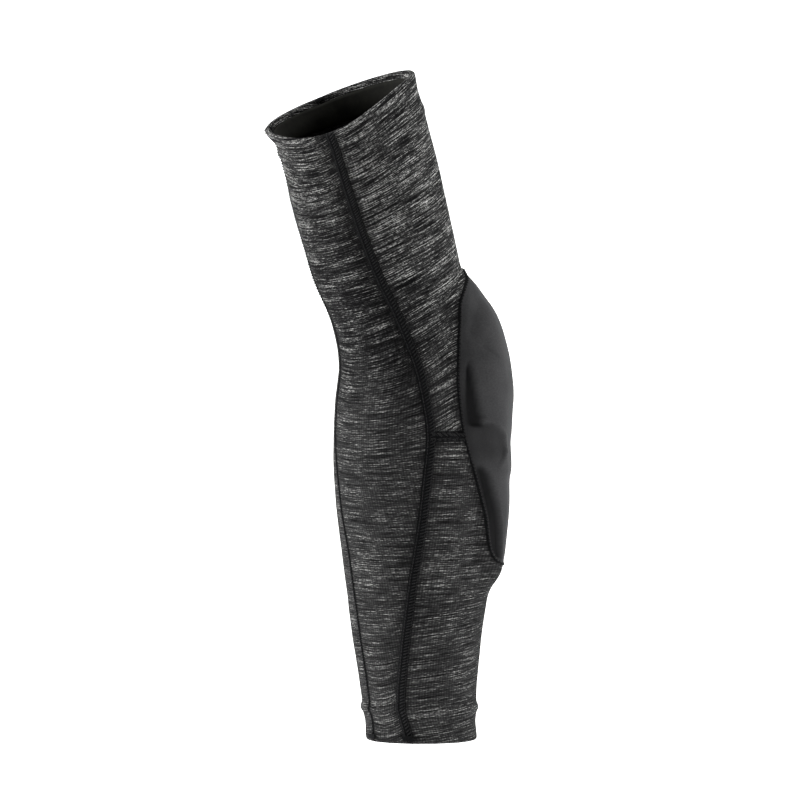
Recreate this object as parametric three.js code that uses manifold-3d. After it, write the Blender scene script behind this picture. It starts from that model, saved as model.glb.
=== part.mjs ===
// A padded elbow sleeve: a knitted tube for the arm, with a moulded foam pad over the point of the elbow.
//
// Millimetres, +Z up. The origin is the middle of the elbow, on the axis that the arm bends about, which is Y.
// -X is the front, the hollow of the elbow, and +X is the back, where the pad is. Seen from the front, the
// sleeve's right side is -Y. The forearm hangs straight down, and the upper arm leans forward.
//
// Every piece is a patch of one surface, the skin. A place on the skin has three numbers: along, in mm up the
// arm from the wrist rim; angle, in degrees round the arm from the back, towards the left side; and offset, in
// mm out from the arm.

import * as THREE from "three";
import { mergeVertices } from "three/addons/utils/BufferGeometryUtils.js";
import Module from "manifold-3d";

// The sleeve's outline from the side, wrist rim first: [front x, front z, back x, back z].
const stations = [
  [-31, -204, 33, -204],
  [-33.5, -181, 32.5, -181],
  [-37.5, -154, 34.5, -154],
  [-41.5, -125, 37.3, -124],
  [-45.3, -95, 38.5, -95],
  [-48.8, -65.5, 38.5, -66],
  [-50.3, -36, 38, -36],
  [-49.5, -6, 36, -8],
  [-47.2, 19, 33, 20],
  [-51, 42, 29, 48],
  [-60.8, 66, 22.8, 76],
  [-68, 90, 16, 107],
  [-74.6, 114, 9.2, 138],
  [-81, 140, 2, 165],
  [-88.5, 157.5, -4.3, 189.5],
];
const depthRatio = 0.92; // side to side, as a share of front to back
const wristLean = -4.5; // degrees that the wrist rim's plane tips towards the right side
const bicepsLean = 11; // degrees that the biceps rim's plane tips towards the right side

const knit = 1.2; // thickness of the knitted fabric
const gap = 0.3; // kept between pieces that lie side by side
const layerGap = 0.8; // kept between layers, whose facets differ
const hemHeight = 20;
const facing = 1; // thickness of the hem that is turned inside
const gripper = 0.5; // thickness of the silicone band printed on the hem
const gripperHeight = 13;

const sideSeamWidth = 5.5;
const frontSeamWidth = 1.8;
const edgeSeamWidth = 2.4;
const seamThickness = 1.7;
const crossSeamHeight = 6;
const crossSeamAlong = 182; // where the forearm's back panel meets the upper arm's
const tack = { width: 6.5, height: 2.6, thickness: 0.9, inset: 0.4 };

// How thick the pad is over the point of the elbow, and half the angle that it spans, by place along the arm.
const padThickness = [
  [76, 0],
  [88, 3],
  [96, 7.5],
  [105, 9.8],
  [127, 11.4],
  [150, 12.6],
  [180, 14.6],
  [204, 17.8],
  [218, 18.4],
  [232, 17.2],
  [246, 14.2],
  [258, 9.4],
  [268, 4],
  [277, 0],
];
const padSpan = [
  [76, 22],
  [97, 30],
  [116, 34],
  [146, 39],
  [165, 46],
  [182, 52],
  [204, 56],
  [222, 56],
  [236, 52],
  [250, 44],
  [262, 34],
  [277, 16],
];
const padFlatTop = 0.36; // share of the span where the pad's top turns down
const padFoot = 1.04; // and where its sides meet the fabric
const foamShare = 0.72; // the foam's width, as a share of the pad's
const foamFill = 0.88; // the foam's thickness, as a share of the pad's
const liningShare = 0.8;
const foamEnds = [112, 258];
const lining = 0.8;

// Half the angle that the black cover spans. It is pointed at the top and blunt at the bottom.
const coverSpan = [
  [104, 8],
  [107, 18],
  [114, 23],
  [122, 25.5],
  [134, 28],
  [149, 33],
  [165, 40],
  [181, 46],
  [200, 49.5],
  [218, 49.5],
  [236, 45],
  [250, 38],
  [262, 27],
  [274, 4],
];

// The three long seams, by angle round the arm. The left side seam mirrors the right one.
const rightSeamAngle = [
  [0, 257],
  [20, 251],
  [45, 256],
  [98, 268],
  [130, 277],
  [156, 282],
  [186, 286],
  [216, 280],
  [245, 270],
  [285, 262],
  [340, 256],
  [387, 253],
];
const frontSeamAngle = [
  [0, 211],
  [74, 209],
  [110, 207],
  [142, 202],
  [175, 196],
  [250, 193],
  [290, 186],
  [387, 174],
];

// The elbow bends about Y. Each body keeps to its own sector of the side view, so that neither meets the other
// at any bend, and what lies between the sectors is cloth and foam that gives. Degrees up from the back.
const upperArmSector = [18, 141];
const hollowSector = [141, 235];
const forearmSector = [235, 358.5];
const pointSector = [-1.5, 18];
const belowUpperArmSector = [-120, 18];
const reach = 400; // past the far end of the sleeve
const slabReach = 30; // past the fabric, in and out

const lengthRows = 24; // facets down every piece that is as long as the sleeve

const wasm = await Module();
wasm.setup();

// A smooth curve through [place, value] pairs.
function curveThrough(pairs) {
  const places = pairs.map(([place]) => place);
  const values = pairs.map(([, value]) => value);
  const curve = new THREE.CubicInterpolant(places, values, 1);
  return (place) => curve.evaluate(THREE.MathUtils.clamp(place, places[0], places.at(-1)))[0];
}

const frontLine = new THREE.CatmullRomCurve3(stations.map(([x, z]) => new THREE.Vector3(x, 0, z)));
const backLine = new THREE.CatmullRomCurve3(stations.map(([, , x, z]) => new THREE.Vector3(x, 0, z)));

// How far along the arm each station is, down the middle of the sleeve.
const stationAlong = [0];
for (let i = 1; i < stations.length; i++) {
  const [before, here] = [stations[i - 1], stations[i]].map(
    ([frontX, frontZ, backX, backZ]) => new THREE.Vector2(frontX + backX, frontZ + backZ).divideScalar(2),
  );
  stationAlong.push(stationAlong[i - 1] + here.distanceTo(before));
}
const sleeveLength = stationAlong.at(-1);
const lineParameter = curveThrough(stationAlong.map((along, i) => [along, i / (stations.length - 1)]));

const padHeightAt = curveThrough(padThickness);
const padSpanAt = curveThrough(padSpan);
const coverSpanAt = curveThrough(coverSpan);
const rightSeamAt = curveThrough(rightSeamAngle);
const leftSeamAt = (along) => 360 - rightSeamAt(along);
const frontSeamAt = curveThrough(frontSeamAngle);

// The section of the bare arm at a place along it: its middle, its two directions and its two half widths.
function section(along) {
  const t = THREE.MathUtils.clamp(lineParameter(along), 0, 1);
  const front = frontLine.getPoint(t);
  const back = backLine.getPoint(t);
  const across = back.clone().sub(front).normalize();
  const upArm = new THREE.Vector3(-across.z, 0, across.x);
  const lean =
    wristLean * (1 - THREE.MathUtils.smoothstep(along, 0, 120)) +
    bicepsLean * THREE.MathUtils.smoothstep(along, 240, sleeveLength);
  const side = new THREE.Vector3(0, 1, 0).addScaledVector(upArm, Math.tan(THREE.MathUtils.degToRad(lean)));
  const halfWidth = front.distanceTo(back) / 2;
  const middle = front.add(back).divideScalar(2);
  return { middle, across, side, halfWidth, halfDepth: halfWidth * depthRatio };
}

// A point on the skin, or off it by offset.
function skin(along, angle, offset) {
  const { middle, across, side, halfWidth, halfDepth } = section(along);
  const turn = THREE.MathUtils.degToRad(angle);
  const [cos, sin] = [Math.cos(turn), Math.sin(turn)];
  const outward = new THREE.Vector2(halfDepth * cos, halfWidth * sin).normalize();
  return middle
    .addScaledVector(across, halfWidth * cos + offset * outward.x)
    .addScaledVector(side, halfDepth * sin + offset * outward.y);
}

// The angle that a distance round the skin spans.
function degreesOf(distance, along) {
  return THREE.MathUtils.radToDeg(distance / section(along).halfWidth);
}

// How far the pad lifts the fabric over it.
function padRise(along, angle) {
  const fromBack = Math.abs(THREE.MathUtils.euclideanModulo(angle + 180, 360) - 180);
  const share = fromBack / padSpanAt(along);
  const ends = along <= padThickness[0][0] || along >= padThickness.at(-1)[0];
  const shape = 1 - THREE.MathUtils.smoothstep(share, padFlatTop, padFoot);
  return ends ? 0 : Math.max(padHeightAt(along), 0) * shape;
}

// The manifold solid of a geometry, whose faces point out whichever way the wrapping turned them.
function solidOf(geometry) {
  geometry.deleteAttribute("normal");
  geometry.deleteAttribute("uv");
  const merged = mergeVertices(geometry, 1e-3);
  const vertProperties = merged.attributes.position.array;
  const build = (triVerts) => new wasm.Manifold(new wasm.Mesh({ numProp: 3, vertProperties, triVerts }));
  const triangles = Uint32Array.from(merged.index.array);
  const solid = build(triangles);
  return solid.volume() > 0 ? solid : build(triangles.reverse());
}

// Moves each vertex of a geometry to where place puts it.
function wrapped(geometry, place) {
  const position = geometry.attributes.position;
  for (let i = 0; i < position.count; i++) {
    const to = place(new THREE.Vector3().fromBufferAttribute(position, i));
    position.setXYZ(i, to.x, to.y, to.z);
  }
  return geometry;
}

// A patch of the skin between two angles, each a function of along, from one place to another along the arm.
function patch({ from, to, low, high, inner, outer, rows, columns }) {
  const box = new THREE.BoxGeometry(1, 1, 1, columns, rows, 1).translate(0.5, 0.5, 0.5);
  return solidOf(
    wrapped(box, ({ x, y, z }) => {
      const along = THREE.MathUtils.lerp(from, to, y);
      const angle = THREE.MathUtils.lerp(low(along), high(along), x);
      return skin(along, angle, THREE.MathUtils.lerp(inner(along, angle), outer(along, angle), z));
    }),
  );
}

// A band that goes right round the sleeve.
function band({ from, to, inner, outer, rows, columns }) {
  const hub = 10;
  const corners = [
    [hub, 0],
    [hub + 1, 0],
    ...Array.from({ length: rows - 1 }, (_, i) => [hub + 1, (i + 1) / rows]),
    [hub + 1, 1],
    [hub, 1],
    ...Array.from({ length: rows - 1 }, (_, i) => [hub, 1 - (i + 1) / rows]),
    [hub, 0],
  ];
  const ring = new THREE.LatheGeometry(
    corners.map(([x, y]) => new THREE.Vector2(x, y)),
    columns,
  );
  return solidOf(
    wrapped(ring, ({ x, y, z }) => {
      const depth = Math.hypot(x, z) - hub;
      const angle = THREE.MathUtils.radToDeg(Math.atan2(z, x));
      return skin(THREE.MathUtils.lerp(from, to, y), angle, THREE.MathUtils.lerp(inner, outer, depth));
    }),
  );
}

// The prism over a sector of the side view, held back from its neighbours by half the gap.
function sectorPrism([from, to]) {
  const [start, end] = [from, to].map(THREE.MathUtils.degToRad);
  const middle = (start + end) / 2;
  const apex = new THREE.Vector2(1, 0)
    .rotateAround(new THREE.Vector2(), middle)
    .setLength(gap / 2 / Math.sin((end - start) / 2));
  const rim = [start, middle, end].map((turn) =>
    new THREE.Vector2(Math.cos(turn), Math.sin(turn)).multiplyScalar(reach).add(apex),
  );
  const prism = new THREE.ExtrudeGeometry(new THREE.Shape([apex, ...rim]), {
    depth: reach,
    bevelEnabled: false,
  });
  return solidOf(prism.translate(0, 0, -reach / 2).rotateX(Math.PI / 2));
}

// The part of a solid on one side of the sleeve: side is -1 for the right and 1 for the left.
function sideOf(solid, side) {
  return solid.decompose().find((body) => {
    const { min, max } = body.boundingBox();
    return Math.sign(min[1] + max[1]) === side;
  });
}

const material = (color, roughness) => new THREE.MeshStandardMaterial({ color, roughness, metalness: 0 });
const finish = {
  knit: material("#3a3b3c", 0.92),
  cover: material("#2b2c2d", 0.78),
  foam: material("#34383a", 0.95),
  lining: material("#191a1a", 0.95),
  thread: material("#0c0c0d", 0.85),
  silicone: material("#1b1c1d", 0.55),
};

const sleeve = new THREE.Group();

// Adds a solid to the sleeve as a named mesh.
function add(name, solid, look) {
  const { vertProperties, triVerts } = solid.getMesh();
  const geometry = new THREE.BufferGeometry()
    .setAttribute("position", new THREE.BufferAttribute(vertProperties, 3))
    .setIndex(new THREE.BufferAttribute(triVerts, 1));
  geometry.computeVertexNormals();
  const mesh = new THREE.Mesh(geometry, look);
  mesh.name = name;
  sleeve.add(mesh);
}

const upperArm = sectorPrism(upperArmSector);
const forearm = sectorPrism(forearmSector);
const hollow = sectorPrism(hollowSector);
const point = sectorPrism(pointSector);
const belowUpperArm = sectorPrism(belowUpperArmSector);

const knitInner = (along, angle) => padRise(along, angle);
const knitOuter = (along, angle) => padRise(along, angle) + knit;
const seamOuter = (along, angle) => padRise(along, angle) + seamThickness;
const clearOf = (seamWidth) => (along) => degreesOf(seamWidth / 2 + gap, along);
const besideSideSeam = clearOf(sideSeamWidth);
const besideFrontSeam = clearOf(frontSeamWidth);

// The cover's footprint, grown by a margin in mm, or shrunk by one below 0.
function coverPatch(margin, inner, outer) {
  const [bottom, top] = [coverSpan[0][0], coverSpan.at(-1)[0]];
  const half = (along) => {
    const unGrown = THREE.MathUtils.mapLinear(along, bottom - margin, top + margin, bottom, top);
    return coverSpanAt(unGrown) + degreesOf(margin, along);
  };
  return patch({
    from: bottom - margin,
    to: top + margin,
    low: (along) => -half(along),
    high: half,
    inner,
    outer,
    rows: 18,
    columns: 8,
  });
}

const coverCut = coverPatch(
  edgeSeamWidth / 2 + layerGap,
  () => -5,
  (along, angle) => padRise(along, angle) + 5,
);

// Front panels: one each side, from the front seam to the side seam, the whole length of the sleeve.
const frontPanel = {
  from: 0,
  to: sleeveLength,
  inner: () => 0,
  outer: () => knit,
  rows: lengthRows,
  columns: 8,
};
const frontPanels = {
  right: patch({
    ...frontPanel,
    low: (along) => frontSeamAt(along) + besideFrontSeam(along),
    high: (along) => rightSeamAt(along) - besideSideSeam(along),
  }),
  left: patch({
    ...frontPanel,
    low: (along) => leftSeamAt(along) + besideSideSeam(along),
    high: (along) => frontSeamAt(along) - besideFrontSeam(along),
  }),
};
for (const [side, panel] of Object.entries(frontPanels)) {
  add(`${side}_front_panel_upper_arm`, panel.intersect(upperArm), finish.knit);
  add(`${side}_front_panel_elbow`, panel.intersect(hollow), finish.knit);
  add(`${side}_front_panel_forearm`, panel.intersect(forearm), finish.knit);
}

// Back panels: the skin between the side seams, cut across at the elbow and cut away for the cover.
const backSkin = {
  from: 0,
  to: sleeveLength,
  low: (along) => rightSeamAt(along) - 360 + besideSideSeam(along),
  high: (along) => leftSeamAt(along) - besideSideSeam(along),
  inner: knitInner,
  rows: lengthRows,
  columns: 20,
};
const crossSlab = (height, middle = crossSeamAlong) =>
  patch({
    from: middle - height / 2,
    to: middle + height / 2,
    low: () => -100,
    high: () => 100,
    inner: () => -slabReach,
    outer: () => slabReach,
    rows: 1,
    columns: 8,
  });
const backPanels = patch({ ...backSkin, outer: knitOuter })
  .subtract(crossSlab(crossSeamHeight + 2 * gap))
  .subtract(coverCut);
const [forearmBackPanel, upperBackPanel] = backPanels
  .decompose()
  .sort((a, b) => a.boundingBox().min[2] - b.boundingBox().min[2]);
add("back_panel_forearm", forearmBackPanel, finish.knit);
add("back_panel_upper_arm", upperBackPanel.intersect(upperArm), finish.knit);
const elbowBack = upperBackPanel.intersect(belowUpperArm);
add("right_back_panel_elbow", sideOf(elbowBack, -1), finish.knit);
add("left_back_panel_elbow", sideOf(elbowBack, 1), finish.knit);

// Flat seams, each a strip of stitching as long as the sleeve.
const longSeam = {
  from: 0,
  to: sleeveLength,
  inner: () => 0,
  outer: () => seamThickness,
  rows: lengthRows,
  columns: 1,
};
for (const [name, at, width] of [
  ["right_side_seam", rightSeamAt, sideSeamWidth],
  ["left_side_seam", leftSeamAt, sideSeamWidth],
  ["front_seam", frontSeamAt, frontSeamWidth],
]) {
  const strip = patch({
    ...longSeam,
    low: (along) => at(along) - degreesOf(width / 2, along),
    high: (along) => at(along) + degreesOf(width / 2, along),
  });
  add(name, strip, finish.thread);
}

// The short seams that join the two back panels, from the side seams to the cover.
const crossSeams = patch({ ...backSkin, outer: seamOuter })
  .intersect(crossSlab(crossSeamHeight))
  .subtract(coverCut);
add("right_cross_seam", sideOf(crossSeams, -1), finish.thread);
add("left_cross_seam", sideOf(crossSeams, 1), finish.thread);

// The elbow pad: the cover, its edge seam, the moulded foam and the lining behind it.
const cover = coverPatch(-edgeSeamWidth / 2 - layerGap, knitInner, knitOuter);
const edgeSeam = coverPatch(edgeSeamWidth / 2, knitInner, seamOuter).subtract(
  coverPatch(
    -edgeSeamWidth / 2,
    () => -5,
    (along, angle) => padRise(along, angle) + 5,
  ),
);
add("elbow_cover_edge_seam", edgeSeam, finish.thread);

const padLayer = (share, from, to, inner, outer) =>
  patch({
    from,
    to,
    low: (along) => -padSpanAt(along) * share,
    high: (along) => padSpanAt(along) * share,
    inner,
    outer,
    rows: 14,
    columns: 8,
  });
const foam = padLayer(
  foamShare,
  ...foamEnds,
  () => lining + gap,
  (along, angle) => foamFill * padRise(along, angle) - layerGap,
);
const backing = padLayer(
  liningShare,
  ...foamEnds,
  () => 0,
  () => lining,
);
for (const [name, solid, look] of [
  ["elbow_cover", cover, finish.cover],
  ["elbow_foam", foam, finish.foam],
  ["elbow_lining", backing, finish.lining],
]) {
  add(`${name}_upper`, solid.intersect(upperArm), look);
  add(`${name}_middle`, solid.intersect(point), look);
  add(`${name}_lower`, solid.intersect(forearm), look);
}

// The hems, turned inside, and the silicone bands printed on them that hold the sleeve up.
const gripperInset = (hemHeight - gripperHeight) / 2;
for (const [name, start] of [
  ["wrist", 0],
  ["biceps", sleeveLength - hemHeight],
]) {
  const hem = band({
    from: start,
    to: start + hemHeight,
    inner: -layerGap - facing,
    outer: -layerGap,
    rows: 2,
    columns: 32,
  });
  add(`${name}_hem_facing`, hem, finish.knit);
  const grip = band({
    from: start + gripperInset,
    to: start + gripperInset + gripperHeight,
    inner: -layerGap - facing - gap - gripper,
    outer: -layerGap - facing - gap,
    rows: 1,
    columns: 32,
  });
  add(`${name}_gripper_band`, grip, finish.silicone);
}

// Bar tacks, which lock the thread ends of the long seams at the wrist rim.
for (const [seam, at] of [
  ["right_side", rightSeamAt],
  ["left_side", leftSeamAt],
  ["front", frontSeamAt],
]) {
  const bar = patch({
    from: tack.inset,
    to: tack.inset + tack.height,
    low: (along) => at(along) - degreesOf(tack.width / 2, along),
    high: (along) => at(along) + degreesOf(tack.width / 2, along),
    inner: () => seamThickness + gap,
    outer: () => seamThickness + gap + tack.thickness,
    rows: 1,
    columns: 2,
  });
  add(`${seam}_wrist_tack`, bar, finish.thread);
}

export default sleeve;
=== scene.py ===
import bpy, bmesh, math, random
from bisect import bisect_left
from mathutils import Matrix, Vector, noise


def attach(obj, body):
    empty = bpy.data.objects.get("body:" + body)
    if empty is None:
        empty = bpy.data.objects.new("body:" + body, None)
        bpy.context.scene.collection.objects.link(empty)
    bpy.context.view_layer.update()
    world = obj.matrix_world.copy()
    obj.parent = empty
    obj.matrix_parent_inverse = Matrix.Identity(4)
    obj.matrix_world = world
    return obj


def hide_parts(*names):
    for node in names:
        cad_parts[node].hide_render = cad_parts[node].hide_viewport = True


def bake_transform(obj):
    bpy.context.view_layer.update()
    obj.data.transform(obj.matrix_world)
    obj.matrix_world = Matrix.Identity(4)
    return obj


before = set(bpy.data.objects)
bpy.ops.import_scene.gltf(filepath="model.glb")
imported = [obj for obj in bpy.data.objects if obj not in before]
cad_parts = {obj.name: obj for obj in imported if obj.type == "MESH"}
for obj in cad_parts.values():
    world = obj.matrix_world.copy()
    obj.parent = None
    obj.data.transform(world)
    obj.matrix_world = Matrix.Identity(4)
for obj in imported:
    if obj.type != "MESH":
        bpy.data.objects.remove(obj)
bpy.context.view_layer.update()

# The sleeve's surface, in millimetres, in the frame's axes. A place on it has three numbers: along, up from
# the wrist rim; angle, in degrees round from the back towards the left side; and offset, out from the arm.
sleeve = {
    # outline from the side, wrist rim first: front x, front z, back x, back z
    "stations": [
        (-31, -204, 33, -204), (-33.5, -181, 32.5, -181), (-37.5, -154, 34.5, -154), (-41.5, -125, 37.3, -124),
        (-45.3, -95, 38.5, -95), (-48.8, -65.5, 38.5, -66), (-50.3, -36, 38, -36), (-49.5, -6, 36, -8),
        (-47.2, 19, 33, 20), (-51, 42, 29, 48), (-60.8, 66, 22.8, 76), (-68, 90, 16, 107),
        (-74.6, 114, 9.2, 138), (-81, 140, 2, 165), (-88.5, 157.5, -4.3, 189.5),
    ],
    "depthRatio": 0.92,
    "wristLean": -4.5,
    "bicepsLean": 11,
    "knit": 1.2,
    "hemHeight": 20,
    "rimRadius": 1.7,
    "crossSeamAlong": 182,
    # the upper rim droops on the right of the arm: how far in mm, the angle it is centred on, its spread in
    # degrees, and how far down the arm it reaches
    "droop": (11.8, 250, 50, 110),
}

pad = {
    # how far it stands out over the point of the elbow, and half the angle that it spans
    "rise": [
        (66, 0), (76, 0.8), (84, 1.8), (90, 3.9), (95, 7), (99, 8.8), (104, 9.7), (111, 10), (126, 11.4),
        (140, 12.5), (154, 12.7), (161, 13.9), (176, 14), (183, 15), (197, 16.8), (204, 18), (212, 18.6),
        (226, 18.2), (238, 16.6), (244.5, 15.1), (251, 12.9), (258, 9.4), (265, 6), (272, 2), (277, 0),
    ],
    "span": [
        (66, 20), (84, 24), (97, 30), (116, 34), (146, 39), (165, 46), (182, 52), (204, 56), (222, 56),
        (236, 52), (250, 44), (262, 34), (272, 20), (280, 12),
    ],
    "flatTop": 0.36,  # share of the span where its top turns down, and where its foot ends
    "outside": 1.04,
    "halfWidth": 48,  # of the arm under it
    "coverSpan": [
        (103, 1), (104.5, 9), (107, 17.5), (114, 23), (122, 25.5), (134, 28), (149, 33), (165, 40), (181, 46),
        (197, 49), (215, 50), (236, 45), (250, 38), (257, 33), (265, 22), (271, 9), (275, 1),
    ],
    # moulded lines of the pad's right half, mirrored on its left: along, degrees from the back, and half width
    # in mm. Each line's shade value is painted shade in its hollow, or painted light where it is below 0, on
    # the brow.
    "lines": {
        "valley": {"path": [(255, 22, 0.5), (248, 30, 1.5), (240, 37, 0.5)], "height": -1.5, "soft": 5,
                   "paintedHollowShade": 0.16},
        "brow": {"path": [(193, 36, 0), (189, 30, 0), (182, 22, 0), (172, 18.5, 0)], "height": 1.4, "soft": 3,
                 "paintedHollowShade": -0.12},
        "crease": {"path": [(232.5, 32.5, 0), (226.5, 26, 0)], "height": -0.6, "soft": 1.3, "paintedHollowShade": 0.3},
        "fold": {"path": [(262, 8, 0), (256, 17, 0)], "height": -0.5, "soft": 5, "paintedHollowShade": 0.1},
    },
    # grooves with one sharp side: its place, how wide the groove is there in mm, how deep it is and how much
    # painted shade it gets, and where along the arm it starts and ends
    "grooves": {
        "upper": {"edge": [(184, 32.5), (189, 35.2), (200, 38.2), (212, 40.2), (228, 41.2)],
                  "width": [(186, 7.5), (200, 5.5), (214, 3), (228, 0.8)], "depth": 3.6, "paintedHollowShade": 0.96,
                  "ends": (184.5, 190, 219, 229)},
        "hollow": {"edge": [(164, 24), (172, 18.8), (182, 22), (189, 29), (193, 35)],
                   "width": [(164, 18), (172, 26), (182, 22), (189, 16), (193, 10)], "depth": 2.2, "paintedHollowShade": 0.5,
                   "ends": (158, 174, 189, 193)},
        "lower": {"edge": [(108, 13.5), (116, 16), (131, 19), (146, 23.5), (157, 28), (168, 35.5)],
                  "width": [(108, 6), (131, 8), (150, 8), (168, 3)], "depth": 3.4, "paintedHollowShade": 0.86,
                  "ends": (105, 110, 160, 169)},
    },
    "grooveWall": (-0.7, 0.9),  # how far past its edge, in mm, a groove's sharp side starts and ends
}

seams = {
    "rightSide": [
        (0, 257), (20, 251), (45, 256), (72, 262), (98, 268), (130, 277), (156, 282), (186, 286), (216, 280),
        (245, 270), (285, 262), (340, 256), (387, 253),
    ],
    "front": [
        (0, 211), (74, 209), (110, 207), (142, 202), (175, 196), (250, 193), (290, 186), (387, 174),
    ],
    "sideWidth": 5.6,
    "frontWidth": 2.3,
    "edgeWidth": 1.3,
    "crossWidth": 6.5,
    "turnIn": 6,  # how far over a rim a seam goes on
}


# a smooth curve through (place, value) pairs, flat past its ends
def curveThrough(pairs):
    xs = [x for x, _ in pairs]
    ys = [y for _, y in pairs]
    count = len(pairs)
    slopes = []
    for i in range(count):
        before, after = max(i - 1, 0), min(i + 1, count - 1)
        slopes.append((ys[after] - ys[before]) / (xs[after] - xs[before]))

    def value(x):
        if x <= xs[0]:
            return ys[0]
        if x >= xs[-1]:
            return ys[-1]
        i = next(j for j in range(1, count) if xs[j] >= x) - 1
        width = xs[i + 1] - xs[i]
        t = (x - xs[i]) / width
        a, b = slopes[i] * width, slopes[i + 1] * width
        d = ys[i + 1] - ys[i]
        return ys[i] + t * (a + t * (3 * d - 2 * a - b + t * (a + b - 2 * d)))

    return value


def smoothStep(x, low, high):
    t = min(max((x - low) / (high - low), 0), 1)
    return t * t * (3 - 2 * t)


def bell(distance, width):
    return math.exp(-((distance / width) ** 2))


# how far along the arm each station is, down the sleeve's middle
def measureAlong(stations):
    places = [0.0]
    middles = [Vector(((fx + bx) / 2, (fz + bz) / 2)) for fx, fz, bx, bz in stations]
    for a, b in zip(middles, middles[1:]):
        places.append(places[-1] + (b - a).length)
    return places


stationAlong = measureAlong(sleeve["stations"])
sleeveLength = stationAlong[-1]
outline = [curveThrough(list(zip(stationAlong, column))) for column in zip(*sleeve["stations"])]
padRiseAt = curveThrough(pad["rise"])
padSpanAt = curveThrough(pad["span"])
coverSpanAt = curveThrough(pad["coverSpan"])
rightSeamAt = curveThrough(seams["rightSide"])
frontSeamAt = curveThrough(seams["front"])
sectionCache = {}


def leftSeamAt(along):
    return 360 - rightSeamAt(along)


# middle, two directions and two half widths of the arm's section
def section(along):
    key = round(along, 3)
    if key not in sectionCache:
        end = min(max(along, 0), sleeveLength)
        fx, fz, bx, bz = [line(end) for line in outline]
        front, back = Vector((fx, 0, fz)), Vector((bx, 0, bz))
        across = (back - front).normalized()
        upArm = Vector((-across.z, 0, across.x))
        lean = sleeve["wristLean"] * (1 - smoothStep(along, 0, 120))
        lean += sleeve["bicepsLean"] * smoothStep(along, 240, sleeveLength)
        side = Vector((0, 1, 0)) + upArm * math.tan(math.radians(lean))
        halfWidth = (back - front).length / 2
        middle = (front + back) / 2 + upArm * (along - end)
        sectionCache[key] = (middle, across, side, halfWidth, halfWidth * sleeve["depthRatio"])
    return sectionCache[key]


# the point, in metres, at that place on the sleeve
def skin(along, angle, offset):
    middle, across, side, halfWidth, halfDepth = section(along)
    turn = math.radians(angle)
    cos, sin = math.cos(turn), math.sin(turn)
    out = Vector((halfDepth * cos, halfWidth * sin)).normalized() * offset
    return (middle + across * (halfWidth * cos + out.x) + side * (halfDepth * sin + out.y)) / 1000


def degreesOf(distance, along):
    return math.degrees(distance / section(along)[3])


def fromBack(angle):
    return abs((angle + 180) % 360 - 180)


def padRise(along, angle):
    share = fromBack(angle) / padSpanAt(along)
    return max(padRiseAt(along), 0) * smoothStep(share, pad["outside"], pad["flatTop"])


# sRGB hex to linear
def colour(hexValue, alpha=1.0):
    parts = [int(hexValue[i:i + 2], 16) / 255 for i in (1, 3, 5)]
    return [c / 12.92 if c <= 0.04045 else ((c + 0.055) / 1.055) ** 2.4 for c in parts] + [alpha]


# adds a node with its settings, and links its inputs; an input is a value or another node's output
def addNode(tree, kind, inputs=None, **settings):
    node = tree.nodes.new(kind)
    for key, value in settings.items():
        setattr(node, key, value)
    for key, value in (inputs or {}).items():
        if isinstance(value, bpy.types.NodeSocket):
            tree.links.new(value, node.inputs[key])
        else:
            node.inputs[key].default_value = value
    return node


def newMaterial(name):
    material = bpy.data.materials.new(name)
    material.use_nodes = True
    return material, material.node_tree, material.node_tree.nodes["Principled BSDF"]


def ramp(tree, factor, *stops):
    node = addNode(tree, "ShaderNodeValToRGB", {"Fac": factor})
    elements = node.color_ramp.elements
    while len(elements) < len(stops):
        elements.new(0.5)
    for element, (place, tint) in zip(elements, stops):
        element.position = place
        element.color = tint
    return node.outputs["Color"]


def grey(level):
    return (level, level, level, 1)


# puts the colour, the roughness, the specular level and the bump (height, strength, distance) on a shader
def finishMaterial(tree, shader, tint, roughness, specular=0.5, bump=None):
    tree.links.new(tint, shader.inputs["Base Color"])
    shader.inputs["Roughness"].default_value = roughness
    shader.inputs["Specular IOR Level"].default_value = specular
    if bump:
        height, strength, distance = bump
        relief = addNode(tree, "ShaderNodeBump", {"Height": height, "Strength": strength, "Distance": distance})
        tree.links.new(relief.outputs["Normal"], shader.inputs["Normal"])


def attributeValue(tree, name):
    return addNode(tree, "ShaderNodeAttribute", attribute_name=name).outputs["Fac"]


# mixes a second colour over the first, or multiplies the first by it
def mixColours(tree, factor, first, second, how="MIX"):
    return addNode(tree, "ShaderNodeMix", {0: factor, 6: first, 7: second}, data_type="RGBA",
                   blend_type=how).outputs[2]


# noise on the weave map, stretched to a streak of length by height in mm
def streaks(tree, length, height, detail=2.0, roughness=0.5, shift=0.0):
    weave = addNode(tree, "ShaderNodeUVMap", uv_map="weave").outputs["UV"]
    scaled = addNode(tree, "ShaderNodeMapping", {
        "Vector": weave, "Location": (shift, shift, 0), "Scale": (1 / length, 1 / height, 1),
    }).outputs["Vector"]
    return addNode(tree, "ShaderNodeTexNoise", {
        "Vector": scaled, "Scale": 1.0, "Detail": detail, "Roughness": roughness,
    }, noise_dimensions="2D").outputs["Fac"]


def blendValues(tree, operation, a, b):
    return addNode(tree, "ShaderNodeMath", {0: a, 1: b}, operation=operation).outputs[0]


waveBand = 0.314  # width of one band of a wave texture at scale 1

heather = {
    "yarn": "#09090a", "mid": "#414141", "light": "#c4c4c1",
    "midAt": 0.33, "lightAt": 0.85,  # amounts of light yarn that give those colours
    # length and height in mm of each kind of streak
    "longStreak": (26, 0.46), "shortStreak": (9, 0.4), "grain": (2.2, 0.42), "patch": (40, 6),
    "longShare": 0.62, "shortShare": 0.38,
    "rib": 1.6, "ribDepth": 0.4,
}


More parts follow.
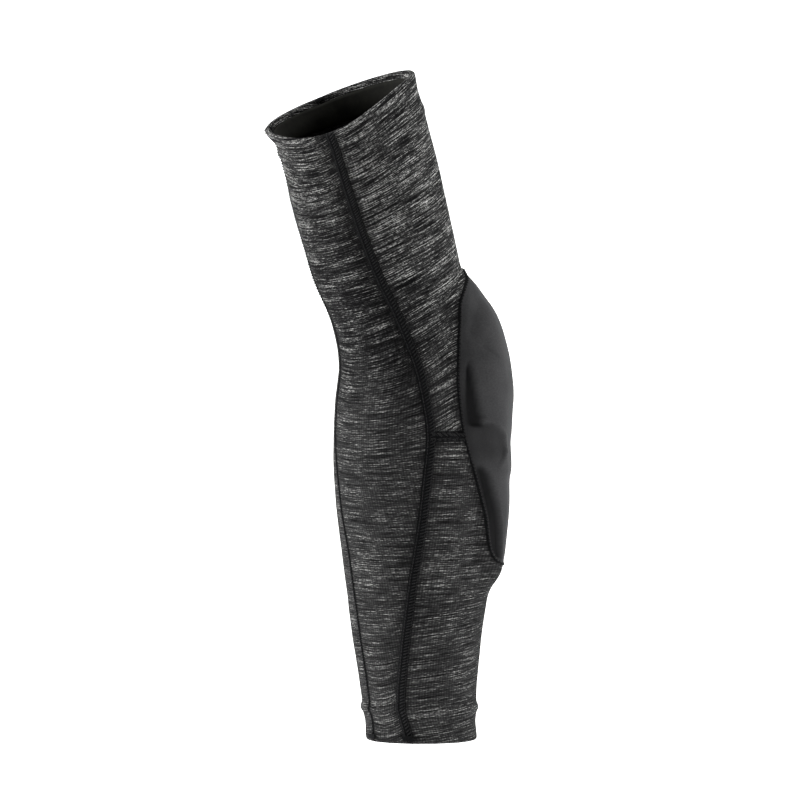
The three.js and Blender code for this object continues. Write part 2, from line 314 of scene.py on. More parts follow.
# Polyester heather jersey, knitted: dark yarn with light grey flecks drawn out along the courses, so the
# eye sees long thin pale dashes across the arm, with fine upright ribs between them.
def heatherKnit():
    material, tree, shader = newMaterial("heather jersey knit")

    def layer(kind, low, high, detail=1.0, shift=0.0, floor=0.0):
        flecks = streaks(tree, *heather[kind], detail=detail, shift=shift)
        return ramp(tree, flecks, (low, grey(floor)), (high, grey(1)))

    long = blendValues(tree, "MULTIPLY", layer("longStreak", 0.42, 0.66), heather["longShare"])
    short = blendValues(tree, "MULTIPLY", layer("shortStreak", 0.42, 0.68, shift=31), heather["shortShare"])
    amount = blendValues(tree, "ADD", long, short)
    amount = blendValues(tree, "MULTIPLY", amount, layer("grain", 0.3, 0.7, shift=57, floor=0.35))
    amount = blendValues(tree, "MULTIPLY", amount, layer("patch", 0.3, 0.7, detail=2.0, shift=83, floor=0.68))
    # the stretch amount also carries painted highlights on the folds under the cross seam
    amount = blendValues(tree, "MULTIPLY", amount, attributeValue(tree, "stretchAndFoldHighlight"))
    # painted shade over the upper arm, most on its front, eased near the top by painted light
    amount = blendValues(tree, "SUBTRACT", amount, attributeValue(tree, "paintedShadeAndLight"))
    tint = ramp(tree, amount, (0.0, colour(heather["yarn"])), (heather["midAt"], colour(heather["mid"])),
                (heather["lightAt"], colour(heather["light"])))
    upright = addNode(tree, "ShaderNodeTexWave", {
        "Vector": addNode(tree, "ShaderNodeUVMap", uv_map="weave").outputs["UV"],
        "Scale": waveBand / heather["rib"], "Distortion": 0.6, "Detail": 1.0,
    }, bands_direction="X").outputs["Fac"]
    ribbed = mixColours(tree, heather["ribDepth"], tint, upright, "MULTIPLY")
    # painted shade: the knit goes towards its dark yarn beside the seams, at the cover's edge and inside the
    # rims
    shaded = mixColours(tree, attributeValue(tree, "paintedShade"), ribbed, colour(heather["yarn"]))
    relief = blendValues(tree, "ADD", amount, blendValues(tree, "MULTIPLY", upright, 0.5))
    finishMaterial(tree, shader, shaded, 0.95, 0.05, bump=(relief, 0.6, 0.0004))
    return material


# The back of the jersey: the dark yarn floats inside, so it is nearly black with an olive cast.
def knitBack():
    material, tree, shader = newMaterial("jersey knit, back")
    loops = streaks(tree, 2.0, 0.9)
    tint = ramp(tree, loops, (0.35, colour("#090a07")), (0.75, colour("#1a1b16")))
    finishMaterial(tree, shader, tint, 0.95, 0.15, bump=(loops, 0.5, 0.0003))
    return material


# Nylon stretch woven, pressed over foam: a matte charcoal, faintly cloudy, with a weave too fine to show, drawn
# here at 0.9 mm. Painted shade takes it nearly to black in the pad's grooves and along its rolled edge.
def stretchWoven():
    material, tree, shader = newMaterial("charcoal stretch woven")
    cloud = streaks(tree, 18, 18, detail=3)
    weave = streaks(tree, 0.9, 0.9, detail=1, shift=11)
    mixed = addNode(tree, "ShaderNodeMix", {0: 0.4, 2: cloud, 3: weave}).outputs[0]
    tint = ramp(tree, mixed, (0.3, colour("#2d2d2e")), (0.7, colour("#39393a")))
    # painted shade: towards black in the cover's hollows and along its rolled edge
    shaded = mixColours(tree, attributeValue(tree, "paintedShade"), tint, colour("#060607"))
    finishMaterial(tree, shader, shaded, 0.8, 0.1, bump=(weave, 0.25, 0.0002))
    return material


# noise on the object's own coordinates, which are metres
def speckle(tree, scale, detail):
    place = addNode(tree, "ShaderNodeTexCoord").outputs["Object"]
    noisy = addNode(tree, "ShaderNodeTexNoise", {"Vector": place, "Scale": scale, "Detail": detail})
    return noisy.outputs["Fac"]


# Textured polyester thread, sewn: black, with a faint glint along each stitch.
def blackThread():
    material, tree, shader = newMaterial("black polyester thread")
    tint = ramp(tree, speckle(tree, 1800.0, 2.0), (0.35, colour("#050506")), (0.7, colour("#141415")))
    finishMaterial(tree, shader, tint, 0.6, 0.2)
    return material


# Covered elastic binding, woven: dead black and matte, under the stitches.
def seamRibbon():
    material, tree, shader = newMaterial("black woven binding")
    loops = speckle(tree, 900.0, 1.0)
    tint = ramp(tree, loops, (0.35, colour("#050506")), (0.7, colour("#101112")))
    finishMaterial(tree, shader, tint, 0.95, 0.1, bump=(loops, 0.4, 0.0002))
    return material


# Screen-printed silicone, cured on the hem: nearly black with an olive cast, and a faint print texture.
def printedSilicone():
    material, tree, shader = newMaterial("printed silicone")
    printed = speckle(tree, 260.0, 3.0)
    tint = ramp(tree, printed, (0.3, colour("#070705")), (0.75, colour("#10100b")))
    finishMaterial(tree, shader, tint, 0.8, 0.08, bump=(printed, 0.4, 0.0003))
    return material


# Moulded closed-cell foam: dark grey, matte, with a fine skin of cells.
def mouldedFoam():
    material, tree, shader = newMaterial("moulded closed-cell foam")
    place = addNode(tree, "ShaderNodeTexCoord").outputs["Object"]
    cells = addNode(tree, "ShaderNodeTexVoronoi", {"Vector": place, "Scale": 900.0}).outputs["Distance"]
    tint = ramp(tree, cells, (0.0, colour("#2c2f31")), (0.8, colour("#3a3e41")))
    finishMaterial(tree, shader, tint, 0.9, bump=(cells, 0.3, 0.0003))
    return material


knit, knitInside = heatherKnit(), knitBack()
coverCloth, thread, ribbon = stretchWoven(), blackThread(), seamRibbon()
silicone, foam = printedSilicone(), mouldedFoam()
print("materials made")


# small unevenness of worn cloth, in mm
def ripple(along, angle, size, seed):
    turn = math.radians(angle)
    spot = Vector((math.cos(turn) * 45, math.sin(turn) * 45, along)) / size
    return noise.noise(spot + Vector((seed, 2 * seed, 0)))


# how the worn knit departs from a smooth tube, in mm
drape = {
    # ridge where a hem is sewn down: how proud at the wrist and at the biceps, how far inside, and width
    "wristRidge": 1.4, "bicepsRidge": 0.7, "ridgeInset": 2, "ridgeWidth": 2.3,
    "waist": (0.6, 9, 5),  # between the ridge and the rim: depth, distance from the rim, and width
    "flare": (2.2, 12),  # of the upper rim's front: how far out, and over what length
    # valley beside a side seam: depth and width on the forearm, and what the upper arm adds to each
    "valley": (0.6, 4), "upperValley": (1.5, 3),
    "underCover": 2.2,
    # folds under the cross seams: height, distance below the seam, and width
    "folds": [(1.7, 6.2, 1.3), (-0.5, 8.8, 1.2), (0.9, 11.2, 1.4)],
    "foldReach": (-12, 20),
    "ripples": [(0.35, 26, 0), (0.12, 9, 5)],  # height, size and seed
}


# 0 on the forearm and 1 on the upper arm
def upperArm(along):
    return smoothStep(along, 190, 250)


def onBack(along, angle, margin=0):
    return fromBack(angle) < 360 - rightSeamAt(along) - margin


# the knit's outer face: the arm, the pad under it, the hems' ridges and the pull of the seams
def knitOffset(along, angle):
    shape = sleeve["knit"] + padRise(along, angle)
    waist, waistAt, waistWidth = drape["waist"]
    for depth, ridge in ((along, drape["wristRidge"]), (sleeveLength - along, drape["bicepsRidge"])):
        shape += ridge * bell(depth - sleeve["hemHeight"] + drape["ridgeInset"], drape["ridgeWidth"])
        shape -= waist * bell(depth - waistAt, waistWidth)
    flare, flareReach = drape["flare"]
    facing = smoothStep(-math.cos(math.radians(angle)), -0.2, 1)
    shape += flare * facing * smoothStep(along, sleeveLength - flareReach, sleeveLength)
    depth, width = [low + more * upperArm(along) for low, more in zip(drape["valley"], drape["upperValley"])]
    shape -= depth * bell(seamDistance(along, angle), width)
    shape -= drape["underCover"] * smoothStep(coverDistance(along, angle), 0.5, -2.2)
    below = sleeve["crossSeamAlong"] - along
    nearest, farthest = drape["foldReach"]
    if nearest < below < farthest and onBack(along, angle, margin=2):
        gather = 0.6 + 0.4 * ripple(along, angle, 7, 3)
        shape += gather * sum(height * bell(below - at, wide) for height, at, wide in drape["folds"])
    return shape + sum(height * ripple(along, angle, size, seed) for height, size, seed in drape["ripples"])


# distance in mm to the nearer side seam
def seamDistance(along, angle):
    apart = min(abs((angle - at + 180) % 360 - 180) for at in (rightSeamAt(along), leftSeamAt(along)))
    return math.radians(apart) * section(along)[3]


# distance in mm out from the cover's edge, below 0 on the cover
def coverDistance(along, angle):
    ends = max(pad["coverSpan"][0][0] - along, along - pad["coverSpan"][-1][0])
    beside = math.radians(fromBack(angle) - coverSpanAt(along)) * section(along)[3]
    return max(ends, beside)


# how the knit's tone varies, with painted shade and painted highlights among it: a change over a stretch of the
# arm is (amount, from, to)
tone = {
    "slack": 0.8, "pulled": (0.54, 170, 300),
    # painted highlights on the folds under the cross seam, and painted shade between them
    "foldHighlights": [(0.7, 6.2, 1.2), (0.4, 10.6, 1.2), (-0.35, 8.6, 0.9)],  # amount, distance below, width
    # painted shade over the upper arm, and painted light near its top
    "backPaintedShade": (0.1, 190, 270), "frontPaintedShade": (0.22, 180, 260), "topPaintedLight": (0.09, 310, 375),
    "sideSeamShade": 0.75, "sideSeamWidth": (4.2, 1.6), "frontSeamShade": (0.7, 2), "coverShade": (0.6, 1.6),
    "facingShade": (0.85, 7, 10),
}


def change(setting, place):
    amount, start, end = setting
    return amount * smoothStep(place, start, end)


# painted shade: how far the cloth sits in the shade of a seam, or of the cover's edge
def paintedShadeAt(along, angle):
    width, more = tone["sideSeamWidth"]
    beside = tone["sideSeamShade"] * bell(seamDistance(along, angle), width + more * upperArm(along))
    shade, width = tone["frontSeamShade"]
    infront = shade * bell(math.radians(angle - frontSeamAt(along)) * section(along)[3], width)
    shade, width = tone["coverShade"]
    return max(beside, infront, shade * bell(coverDistance(along, angle), width))


# how far the knit is stretched, which opens its pale flecks, most on the upper arm; under the cross seam it
# also adds painted highlights on the folds and painted shade between them
def stretchAndFoldHighlightAt(along, angle):
    amount = tone["slack"] + change(tone["pulled"], along)
    below = sleeve["crossSeamAlong"] - along
    if onBack(along, angle):
        amount += sum(more * bell(below - at, width) for more, at, width in tone["foldHighlights"])
    return amount


# painted shade on the front of the upper arm, and a little behind it, eased near the top by painted light
def paintedShadeAndLightAt(along, angle):
    if onBack(along, angle):
        return change(tone["backPaintedShade"], along)
    return change(tone["frontPaintedShade"], along) - change(tone["topPaintedLight"], along)


# painted shade on the facing inside a rim, which is in the shade
def turnedIn(run):
    return change(tone["facingShade"], max(-run, run - sleeveLength))


# the sleeve turns in at its rims: along, and how far the surface has moved in
def overRim(run):
    radius = sleeve["rimRadius"]
    arc = math.pi * radius
    if 0 <= run <= sleeveLength:
        return run, 0
    past = -run if run < 0 else run - sleeveLength
    if past < arc:
        out, inward = radius * math.sin(past / radius), radius * (1 - math.cos(past / radius))
    else:
        out, inward = arc - past, 2 * radius
    return (-out, inward) if run < 0 else (sleeveLength + out, inward)


# how far the upper rim's droop lowers the cloth there
def droopAt(along, angle):
    depth, centre, spread, reach = sleeve["droop"]
    beside = bell((angle - centre + 180) % 360 - 180, spread)
    return depth * beside * smoothStep(along, sleeveLength - reach, sleeveLength)


def clothPoint(run, angle, proud=0.0):
    along, inward = overRim(run)
    rim = min(max(along, 0), sleeveLength)
    return skin(along - droopAt(along, angle), angle, knitOffset(rim, angle) + proud - inward)


# places down a piece: close together where it turns over a rim
def runStops(start, end, step=2.0, rimStep=0.45, rimReach=5):
    stops = []
    run = start
    while run < end - 0.01:
        stops.append(run)
        nearRim = min(abs(run), abs(run - sleeveLength)) < rimReach
        run += rimStep if nearRim else step
    return stops + [end]


def newObject(name, mesh, materials):
    thing = bpy.data.objects.new(name, mesh)
    bpy.context.scene.collection.objects.link(thing)
    for material in materials:
        mesh.materials.append(material)
    return thing


def meshOf(bm, name):
    mesh = bpy.data.meshes.new(name)
    bm.to_mesh(mesh)
    bm.free()
    mesh.shade_smooth()
    return mesh


# where a grid's vertices are, from 0,0 to 1,1, in the order that the operator makes them
def gridSpots(columns, rows):
    return [(column / columns, row / rows) for row in range(rows + 1) for column in range(columns + 1)]


# a grid with its corners at 0,0 and 1,1, moved by place and given a weave map in mm by weave
def wrapGrid(columns, rows, place, weave):
    bm = bmesh.new()
    bmesh.ops.create_grid(bm, x_segments=columns, y_segments=rows, size=0.5)
    weaveMap = bm.loops.layers.uv.new("weave")
    spots = {v: (v.co.x + 0.5, v.co.y + 0.5) for v in bm.verts}
    mapped = {v: weave(*spot) for v, spot in spots.items()}
    for v, spot in spots.items():
        v.co = place(*spot)
    for face in bm.faces:
        for loop in face.loops:
            loop[weaveMap].uv = mapped[loop.vert]
    return bm


def addThickness(thing, thickness, inside=0):
    wall = thing.modifiers.new("thickness", "SOLIDIFY")
    wall.thickness = thickness / 1000
    wall.offset = -1
    wall.use_even_offset = False
    wall.material_offset = inside
    return thing


def bendWithElbow(thing):
    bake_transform(thing)


panel = {"cell": 2.0, "thickness": 0.9, "underCover": -2.4}


# One panel of knit between two seams; courseRise says how far a course climbs, in mm, by place. A back panel
# is cut away under the cover, but for a seam allowance.
def knitPanel(name, low, high, start, end, courseRise, inset=1.2):
    stops = runStops(start, end)
    rows = len(stops) - 1

    def edges(run):
        along = min(max(overRim(run)[0], 0), sleeveLength)
        trim = degreesOf(inset, along)
        return along, low(along) + trim, high(along) - trim

    def spot(s, t):
        run = stops[round(t * rows)]
        along, first, last = edges(run)
        return run, along, first, first + (last - first) * s

    def place(s, t):
        run, _, _, angle = spot(s, t)
        return clothPoint(run, angle)

    def weave(s, t):
        run, along, first, angle = spot(s, t)
        girth = math.radians(angle - first) * section(along)[3]
        return girth, run - courseRise(along, s, angle)

    widest = max(math.radians(edges(r)[2] - edges(r)[1]) * section(edges(r)[0])[3] for r in stops[::8])
    columns = max(int(widest / panel["cell"]), 4)
    bm = wrapGrid(columns, rows, place, weave)
    paintedShade, stretchAndFoldHighlight, paintedShadeAndLight = [bm.verts.layers.float.new(key) for key in ("paintedShade", "stretchAndFoldHighlight", "paintedShadeAndLight")]
    under = []
    for v, (s, t) in zip(bm.verts, gridSpots(columns, rows)):
        run, along, _, angle = spot(s, t)
        v[paintedShade] = max(paintedShadeAt(along, angle), turnedIn(run))
        v[stretchAndFoldHighlight] = stretchAndFoldHighlightAt(along, angle)
        v[paintedShadeAndLight] = paintedShadeAndLightAt(along, angle)
        if coverDistance(along, angle) < panel["underCover"]:
            under.append(v)
    bmesh.ops.delete(bm, geom=under, context="VERTS")
    area = sum(face.calc_area() for face in bm.faces)
    thing = newObject(name, meshOf(bm, name), [knit, knitInside])
    addThickness(thing, panel["thickness"], inside=1)
    bendWithElbow(thing)
    return thing


# distance in mm from a place on the pad to the edge of a moulded line, which has a width of its own
def distanceTo(path, along, side):
    scale = math.radians(pad["halfWidth"])
    here = Vector((along, side * scale))
    best = 1e9
    for (a, b, halfStart), (c, d, halfEnd) in zip(path, path[1:]):
        start, end = Vector((a, b * scale)), Vector((c, d * scale))
        reach = end - start
        t = min(max((here - start).dot(reach) / reach.length_squared, 0), 1)
        best = min(best, (here - start - reach * t).length - halfStart - (halfEnd - halfStart) * t)
    return best


grooveCurves = [(groove, curveThrough(groove["edge"]), curveThrough(groove["width"]))
                for groove in pad["grooves"].values()]


# how far the moulding moves the pad's face at that place, in mm, and how much painted shade its hollows get,
# with painted light on the brow
def padCarving(along, angle):
    side = fromBack(angle)
    depth, paintedHollowShade = 0, 0
    for line in pad["lines"].values():
        near = smoothStep(distanceTo(line["path"], along, side), line["soft"], -line["soft"] / 2)
        depth += line["height"] * near
        paintedHollowShade += line["paintedHollowShade"] * near
    deepest, deepestPaintedShade = 0, 0
    for groove, edgeAt, widthAt in grooveCurves:
        start, full, ending, end = groove["ends"]
        ends = smoothStep(along, start, full) * smoothStep(along, end, ending)
        past = math.radians(side - edgeAt(along)) * pad["halfWidth"]
        far = smoothStep(past, 2 * widthAt(along) + 1, 0.3 * widthAt(along))
        wall = ends * smoothStep(past, *pad["grooveWall"]) * far
        deepest = max(deepest, groove["depth"] * wall)
        deepestPaintedShade = max(deepestPaintedShade, groove["paintedHollowShade"] * wall)
    return depth - deepest, paintedHollowShade + deepestPaintedShade


cover = {
    "cell": 0.9, "columns": 104, "thickness": 0.9,
    "flat": (0.1, 0.18),  # in m
    "lift": 0.3, "plump": 0.7, "bumps": (0.12, 14, 9),
    # where the edge rolls down: share of the span, and along the arm at the lower and the upper end
    "roll": (1, 0.85), "lowerRoll": (104, 112), "upperRoll": (276, 266),
    # painted shade where the edge rolls down: amount, from and to as shares of the span, and as along
    "rollShade": (0.3, 0.8, 0.97), "rollShadeAlong": (262, 245),
    # the most painted shade on the cover
    "deepestPaintedShade": 0.9,
}


# the cover's outer face: tight at its edge, plump and carved inside it
def coverOffset(along, angle):
    share = min(fromBack(angle) / max(coverSpanAt(along), 1), 1)
    inside = smoothStep(share, *cover["roll"])
    inside *= smoothStep(along, *cover["lowerRoll"]) * smoothStep(along, *cover["upperRoll"])
    height, size, seed = cover["bumps"]
    relief = cover["plump"] + padCarving(along, angle)[0] + height * ripple(along, angle, size, seed)
    return sleeve["knit"] + cover["lift"] + padRise(along, angle) + inside * relief


# painted shade on a place on the cover, from its hollows and its rolled edge
def coverShade(along, angle):
    share = fromBack(angle) / max(coverSpanAt(along), 1)
    rolled = change(cover["rollShade"], share) * smoothStep(along, *cover["rollShadeAlong"])
    return min(max(padCarving(along, angle)[1] + rolled, 0), cover["deepestPaintedShade"])


# the sculpted cover, from the blunt lower end to the pointed top
def makeCover():
    bottom, top = pad["coverSpan"][0][0], pad["coverSpan"][-1][0]
    rows, columns = int((top - bottom) / cover["cell"]), cover["columns"]

    def spot(s, t):
        along = bottom + (top - bottom) * t
        half = coverSpanAt(along)
        return along, half * (2 * s - 1)

    def place(s, t):
        along, angle = spot(s, t)
        return skin(along, angle, coverOffset(along, angle))

    def weave(s, t):
        along, angle = spot(s, t)
        return math.radians(angle) * pad["halfWidth"], along

    bm = wrapGrid(columns, rows, place, weave)
    paintedShade = bm.verts.layers.float.new("paintedShade")
    for v, (s, t) in zip(bm.verts, gridSpots(columns, rows)):
        v[paintedShade] = coverShade(*spot(s, t))
    area = sum(face.calc_area() for face in bm.faces)
    thing = newObject("elbow_cover", meshOf(bm, "elbow_cover"), [coverCloth])
    addThickness(thing, cover["thickness"])
    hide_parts("elbow_cover_upper", "elbow_cover_middle", "elbow_cover_lower")
    bendWithElbow(thing)


block = {
    "cell": 2, "columns": 44,
    "foamShare": 0.85, "clearance": 1.5, "foamBase": 1.2, "thinnest": 1.8,
    "lining": 0.8,
    "endRound": 0.35, "endWidth": 0.25,  # how its ends round off, and the least share of its width there
}


# the foam's outer face follows the cover's, a little inside it
def foamTop(along, angle):
    carved = min(padCarving(along, angle)[0], 0)
    return max(block["foamShare"] * padRise(along, angle) - block["clearance"] + carved, block["thinnest"])


# a closed soft block under the cover: share is of the pad's span, inner and outer are offsets by place
def softBlock(name, share, start, end, inner, outer, material):
    rows, columns = int((end - start) / block["cell"]), block["columns"]

    def spot(s, t):
        along = start + (end - start) * t
        half = padSpanAt(along) * share
        ends = math.sin(math.pi * min(max(t, 0), 1)) ** block["endRound"]
        return along, half * (2 * s - 1) * max(ends, block["endWidth"])

    bm = bmesh.new()
    bmesh.ops.create_grid(bm, x_segments=columns, y_segments=rows, size=0.5)
    bmesh.ops.solidify(bm, geom=bm.faces[:], thickness=1)
    lowest = min(v.co.z for v in bm.verts)
    for v in bm.verts:
        along, angle = spot(v.co.x + 0.5, v.co.y + 0.5)
        level = v.co.z - lowest
        v.co = skin(along, angle, inner(along, angle) * (1 - level) + outer(along, angle) * level)
    if bm.calc_volume(signed=True) < 0:
        bmesh.ops.reverse_faces(bm, faces=bm.faces[:])
    thing = newObject(name, meshOf(bm, name), [material])
    bendWithElbow(thing)
    return thing


# a line of places on the sleeve, measured in mm, with the direction across it
def measurePath(places):
    lengths = [0.0]
    for (runA, angleA), (runB, angleB) in zip(places, places[1:]):
        arc = math.radians(angleB - angleA) * section((runA + runB) / 2)[3]
        lengths.append(lengths[-1] + math.hypot(arc, runB - runA))
    return lengths


def pathPoint(places, lengths, distance):
    distance = min(max(distance, 0), lengths[-1])
    i = min(max(bisect_left(lengths, distance), 1), len(lengths) - 1)
    (runA, angleA), (runB, angleB) = places[i - 1], places[i]
    t = (distance - lengths[i - 1]) / max(lengths[i] - lengths[i - 1], 1e-6)
    arc = math.radians(angleB - angleA) * section((runA + runB) / 2)[3]
    heading = Vector((arc, runB - runA)).normalized()
    return runA + (runB - runA) * t, angleA + (angleB - angleA) * t, heading


# copies what is in bm up the strip, count times in all, each out of true by about loose mm at most
def repeatUp(bm, count, pitch, chance, loose):
    unit = bm.verts.layers.int.new("unit")
    made = 1
    while made < count:
        batch = min(made, count - made)
        faces = [face for face in bm.faces if face.verts[0][unit] < batch]
        copied = bmesh.ops.duplicate(bm, geom=faces)["geom"]
        for v in copied:
            if isinstance(v, bmesh.types.BMVert):
                v[unit] += made
                v.co.y += made * pitch
        made += batch
    shifts = [[chance.uniform(-loose, loose) * part for part in (1, 1.4, 0.6)] for _ in range(count)]
    for v in bm.verts:
        v.co += Vector(shifts[v[unit]])


flatlock = {
    "pitch": 1.9, "thread": 0.34, "ribbon": 0.8, "rise": 0.45, "cell": 1.6,
    "bandProud": 0.12, "needleProud": 0.1, "needleReach": 0.92,
}


# A flat seam in its own strip: x across, y along it, z up from the cloth. The ribbon is domed, and
# each stitch is a grain of thread. Bands are (from, to) across the width that slanting stitches cover.
def sewSeam(name, places, width, bands, needleLines, lift, base=clothPoint, pitch=None, loose=0.1, seed=1):
    lengths = measurePath(places)
    long = lengths[-1]
    pitch = pitch or flatlock["pitch"]
    rows = max(int(long / flatlock["cell"]), 2)
    bm = bmesh.new()
    bmesh.ops.create_grid(bm, x_segments=6, y_segments=rows, size=0.5)
    bmesh.ops.solidify(bm, geom=bm.faces[:], thickness=1)
    top = max(v.co.z for v in bm.verts)

    def dome(share):
        return flatlock["rise"] * (1 - (2 * share) ** 2)

    for v in bm.verts:
        height = dome(v.co.x) - (0 if v.co.z > top - 0.5 else flatlock["ribbon"])
        v.co = (v.co.x * width, (v.co.y + 0.5) * long, height)
    if bm.calc_volume(signed=True) < 0:
        bmesh.ops.reverse_faces(bm, faces=bm.faces[:])
    stitches = bmesh.new()
    size = flatlock["thread"]

    def grain(x, y, reach, turn, rise):
        spot = Matrix.Translation((x, y, rise)) @ Matrix.Rotation(turn, 4, "Z")
        spot = spot @ Matrix.Diagonal((reach / 2, size, size, 1))
        bmesh.ops.create_uvsphere(stitches, u_segments=6, v_segments=4, radius=1, matrix=spot)

    for first, last, slant in bands:
        x = (first + last) / 2 * width
        reach = (last - first) * width / math.cos(slant)
        grain(x, pitch / 2, reach, slant, dome(x / width) + flatlock["bandProud"])
    for share in needleLines:
        reach = pitch * flatlock["needleReach"]
        grain(share * width, pitch, reach, math.pi / 2, dome(share) + flatlock["needleProud"])
    repeatUp(stitches, int(long / pitch), pitch, random.Random(seed), loose)
    for face in stitches.faces:
        face.material_index = 1
    threads = bpy.data.meshes.new("threads")
    stitches.to_mesh(threads)
    stitches.free()
    bm.from_mesh(threads)
    bpy.data.meshes.remove(threads)
    for v in bm.verts:
        x, y, z = v.co
        run, angle, heading = pathPoint(places, lengths, y)
        run, arc = run - heading.x * x, heading.y * x
        v.co = base(run, angle + degreesOf(arc, overRim(run)[0]), lift + z)
    thing = newObject(name, meshOf(bm, name), [ribbon, thread])
    bendWithElbow(thing)
    return thing


def overCover(along, angle, proud=0.0):
    return skin(along, angle, sleeve["knit"] + padRise(along, angle) + proud)


# a seam's path from rim to rim, and a little way over them
def downSleeve(at):
    stops = runStops(-seams["turnIn"], sleeveLength + seams["turnIn"], 3)
    return [(run, at(min(max(overRim(run)[0], 0), sleeveLength))) for run in stops]


turnIn = math.pi * sleeve["rimRadius"] + sleeve["hemHeight"]
cross = sleeve["crossSeamAlong"]


courses = {
    # how far in mm a front panel's courses climb: at the elbow (amount, along, width), and changes elsewhere
    "elbowClimb": (9, 222, 48), "wristClimb": (3.5, 90, 30), "upperClimb": (6, 250, 330), "leastClimb": 1.5,
    "sagAt": 0.3,  # share of the panel's width
    # slope in degrees of a back panel's courses, and how far from the middle of the back they round over
    "upperSlope": 27, "upperChange": (-25, 200, 375), "forearmSlope": (8, 100, 50), "crown": 12,
}


# a front panel's courses sag a little at the front and climb towards the side seam
def frontRise(fromFront, along):
    most, at, width = courses["elbowClimb"]
    climb = most * bell(along - at, width) + courses["leastClimb"]
    climb += change(courses["wristClimb"], along) + change(courses["upperClimb"], along)
    sagAt = courses["sagAt"]
    return climb * ((fromFront - sagAt) ** 2 - sagAt ** 2) / (1 - sagAt) ** 2


# a back panel's courses climb towards the middle of the back
def backRise(slope, along, angle):
    side = math.radians(fromBack(angle)) * section(along)[3]
    return -math.tan(math.radians(slope)) * math.hypot(side, courses["crown"])


def upperSlope(along):
    return courses["upperSlope"] + change(courses["upperChange"], along)


knitPanel("right_front_panel", frontSeamAt, rightSeamAt, -turnIn, sleeveLength + turnIn,
          lambda along, share, angle: frontRise(share, along), inset=0.5)
knitPanel("left_front_panel", leftSeamAt, frontSeamAt, -turnIn, sleeveLength + turnIn,
          lambda along, share, angle: frontRise(1 - share, along), inset=0.5)
knitPanel("upper_back_panel", lambda along: rightSeamAt(along) - 360, leftSeamAt, cross, sleeveLength + turnIn,
          lambda along, share, angle: backRise(upperSlope(along), along, angle))
knitPanel("forearm_back_panel", lambda along: rightSeamAt(along) - 360, leftSeamAt, -turnIn, cross,
          lambda along, share, angle: backRise(change(courses["forearmSlope"], along), along, angle))
print("knit panels made")

makeCover()
filling = softBlock("elbow_foam", share=0.8, start=114, end=260,
                    inner=lambda along, angle: block["foamBase"], outer=foamTop, material=foam)
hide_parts("elbow_foam_upper", "elbow_foam_middle", "elbow_foam_lower")
backing = softBlock("elbow_lining", share=0.86, start=108, end=266,
                    inner=lambda along, angle: 0.0, outer=lambda along, angle: block["lining"],
                    material=knitInside)
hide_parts("elbow_lining_upper", "elbow_lining_middle", "elbow_lining_lower")
print("pad made")

for name, at in (("right_side_seam", rightSeamAt), ("left_side_seam", leftSeamAt)):
    side = sewSeam(name, downSleeve(at), seams["sideWidth"],
                   bands=[(-0.12, 0.46, 0.5)], needleLines=[-0.3, 0.42], lift=0.1)
    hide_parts(name)
front = sewSeam("front_seam", downSleeve(frontSeamAt), seams["frontWidth"],
                bands=[(-0.4, 0.4, 0.6)], needleLines=[], lift=0.0)
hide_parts("front_seam")
for sideName, sign in (("right", -1), ("left", 1)):
    reach = 360 - rightSeamAt(cross)
    places = [(cross, sign * (coverSpanAt(cross) + (reach - coverSpanAt(cross)) * i / 12)) for i in range(13)]
    piece = sewSeam(f"{sideName}_cross_seam", places, seams["crossWidth"],
                    bands=[(-0.44, -0.08, -0.3), (0.02, 0.4, 0.9)], needleLines=[-0.2, 0.3],
                    lift=0.2, pitch=1.6, loose=0.45, seed=4)
    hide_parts(f"{sideName}_cross_seam")


# right round the cover: up its right edge and down its left
def coverEdge(count=90):
    bottom, top = pad["coverSpan"][0][0], pad["coverSpan"][-1][0]
    stops = [bottom + (top - bottom) * i / count for i in range(count + 1)]
    path = [(along, -coverSpanAt(along)) for along in stops]
    path += [(along, coverSpanAt(along)) for along in reversed(stops)]
    return path + [(bottom, -coverSpanAt(bottom))]


binding = sewSeam("elbow_cover_edge_seam", coverEdge(), seams["edgeWidth"], bands=[], needleLines=[0],
                  lift=0.3, base=overCover, pitch=2.2, loose=0.02, seed=7)
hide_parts("elbow_cover_edge_seam")
print("seams sewn")


gripper = {"columns": 150, "rows": 8, "height": 15, "fromRim": 2, "thickness": 0.4, "swell": 0.35, "gap": 1.15}


# printed band inside a hem, with a swollen middle
def gripperBand(name, start, height, body):
    def place(s, t):
        along, angle = start + height * t, 360 * s
        swell = gripper["swell"] * math.sin(math.pi * t) ** 0.4
        deep = 2 * sleeve["rimRadius"] + gripper["gap"] + swell
        return skin(along - droopAt(along, angle), angle, knitOffset(along, angle) - deep)

    bm = wrapGrid(gripper["columns"], gripper["rows"], place, lambda s, t: (s * 280, t * height))
    bmesh.ops.remove_doubles(bm, verts=bm.verts[:], dist=1e-6)
    bmesh.ops.reverse_faces(bm, faces=bm.faces[:])
    band = newObject(name, meshOf(bm, name), [silicone])
    addThickness(band, gripper["thickness"])
    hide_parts(name)
    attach(band, body)


gripperBand("wrist_gripper_band", gripper["fromRim"], gripper["height"], "forearm")
gripperBand("biceps_gripper_band", sleeveLength - gripper["fromRim"] - gripper["height"], gripper["height"],
            "upper_arm")

covers = {
    "right_front_panel": ["right_front_panel_upper_arm", "right_front_panel_elbow", "right_front_panel_forearm",
                          "wrist_hem_facing"],
    "left_front_panel": ["left_front_panel_upper_arm", "left_front_panel_elbow", "left_front_panel_forearm"],
    "upper_back_panel": ["back_panel_upper_arm", "right_back_panel_elbow", "left_back_panel_elbow",
                         "biceps_hem_facing"],
    "forearm_back_panel": ["back_panel_forearm"],
}
for name, nodes in covers.items():
    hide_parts(*nodes)

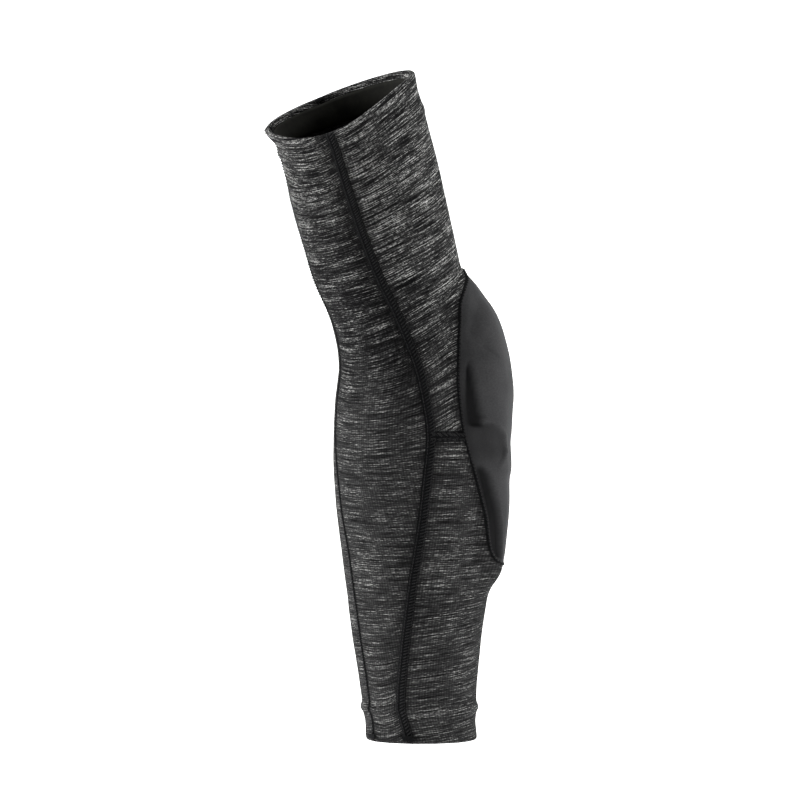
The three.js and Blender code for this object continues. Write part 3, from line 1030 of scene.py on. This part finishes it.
for name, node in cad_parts.items():
    if name.endswith("tack"):
        node.data.materials.clear()
        node.data.materials.append(ribbon)

# camera level with the elbow, a little above it, far off so that lines stay straight
view = {"lens": 120, "distance": 1.581, "aim": (-0.0119, 0, -0.003), "elevation": 3}


def addCamera():
    camera = bpy.data.objects.new("camera", bpy.data.cameras.new("camera"))
    bpy.context.scene.collection.objects.link(camera)
    camera.data.lens = view["lens"]
    camera.data.clip_end = 50
    rise = math.radians(view["elevation"])
    back = Vector((0, -math.cos(rise), math.sin(rise)))
    camera.location = Vector(view["aim"]) + back * view["distance"]
    camera.rotation_euler = (math.pi / 2 - rise, 0, 0)
    bpy.context.scene.camera = camera


def addSoftbox(name, spot, size, watts):
    lamp = bpy.data.lights.new(name, "AREA")
    lamp.shape = "RECTANGLE"
    lamp.size, lamp.size_y = size
    lamp.energy = watts
    box = bpy.data.objects.new(name, lamp)
    bpy.context.scene.collection.objects.link(box)
    box.location = spot
    box.rotation_euler = (Vector((0, 0, 0)) - Vector(spot)).to_track_quat("-Z", "Y").to_euler()


# in m
backdrop = {"width": 16, "length": 10, "front": -4, "floor": -0.42, "bendAt": 1.6, "radius": 1.5, "glow": 0.8}


# a pale floor that curves up behind the object
def addBackdrop():
    material, _, shader = newMaterial("white paper")
    paint = {"Roughness": 0.9, "Base Color": colour("#f4f4f4"), "Emission Color": colour("#ffffff"),
             "Emission Strength": backdrop["glow"]}
    for key, value in paint.items():
        shader.inputs[key].default_value = value
    bm = bmesh.new()
    bmesh.ops.create_grid(bm, x_segments=2, y_segments=60, size=0.5)
    radius, bendAt = backdrop["radius"], backdrop["bendAt"]
    quarter = radius * math.pi / 2
    for v in bm.verts:
        y = (v.co.y + 0.5) * backdrop["length"] + backdrop["front"]
        turn = min(max(y - bendAt, 0), quarter) / radius
        above = max(y - bendAt - quarter, 0)
        v.co = (v.co.x * backdrop["width"], min(y, bendAt) + radius * math.sin(turn),
                backdrop["floor"] + radius * (1 - math.cos(turn)) + above)
    paper = newObject("backdrop", meshOf(bm, "backdrop"), [material])


# place and size in m
softboxes = {
    "left softbox": {"spot": (-1.7, 0.1, 0.7), "size": (0.8, 1.6), "watts": 70},
    "right softbox": {"spot": (1.7, 0.1, 0.9), "size": (0.8, 1.6), "watts": 43},
    "front softbox": {"spot": (0.6, -2.4, 1.4), "size": (1.4, 1.0), "watts": 5},
    "top softbox": {"spot": (0, 0.2, 2.2), "size": (1.5, 1.2), "watts": 24},
}

addCamera()
addBackdrop()
for name, box in softboxes.items():
    addSoftbox(name, **box)
world = bpy.data.worlds.new("studio")
world.use_nodes = True
sky = world.node_tree.nodes["Background"]
sky.inputs["Color"].default_value = grey(1)
sky.inputs["Strength"].default_value = 0.12
bpy.context.scene.world = world
bpy.context.scene.view_settings.view_transform = "Standard"
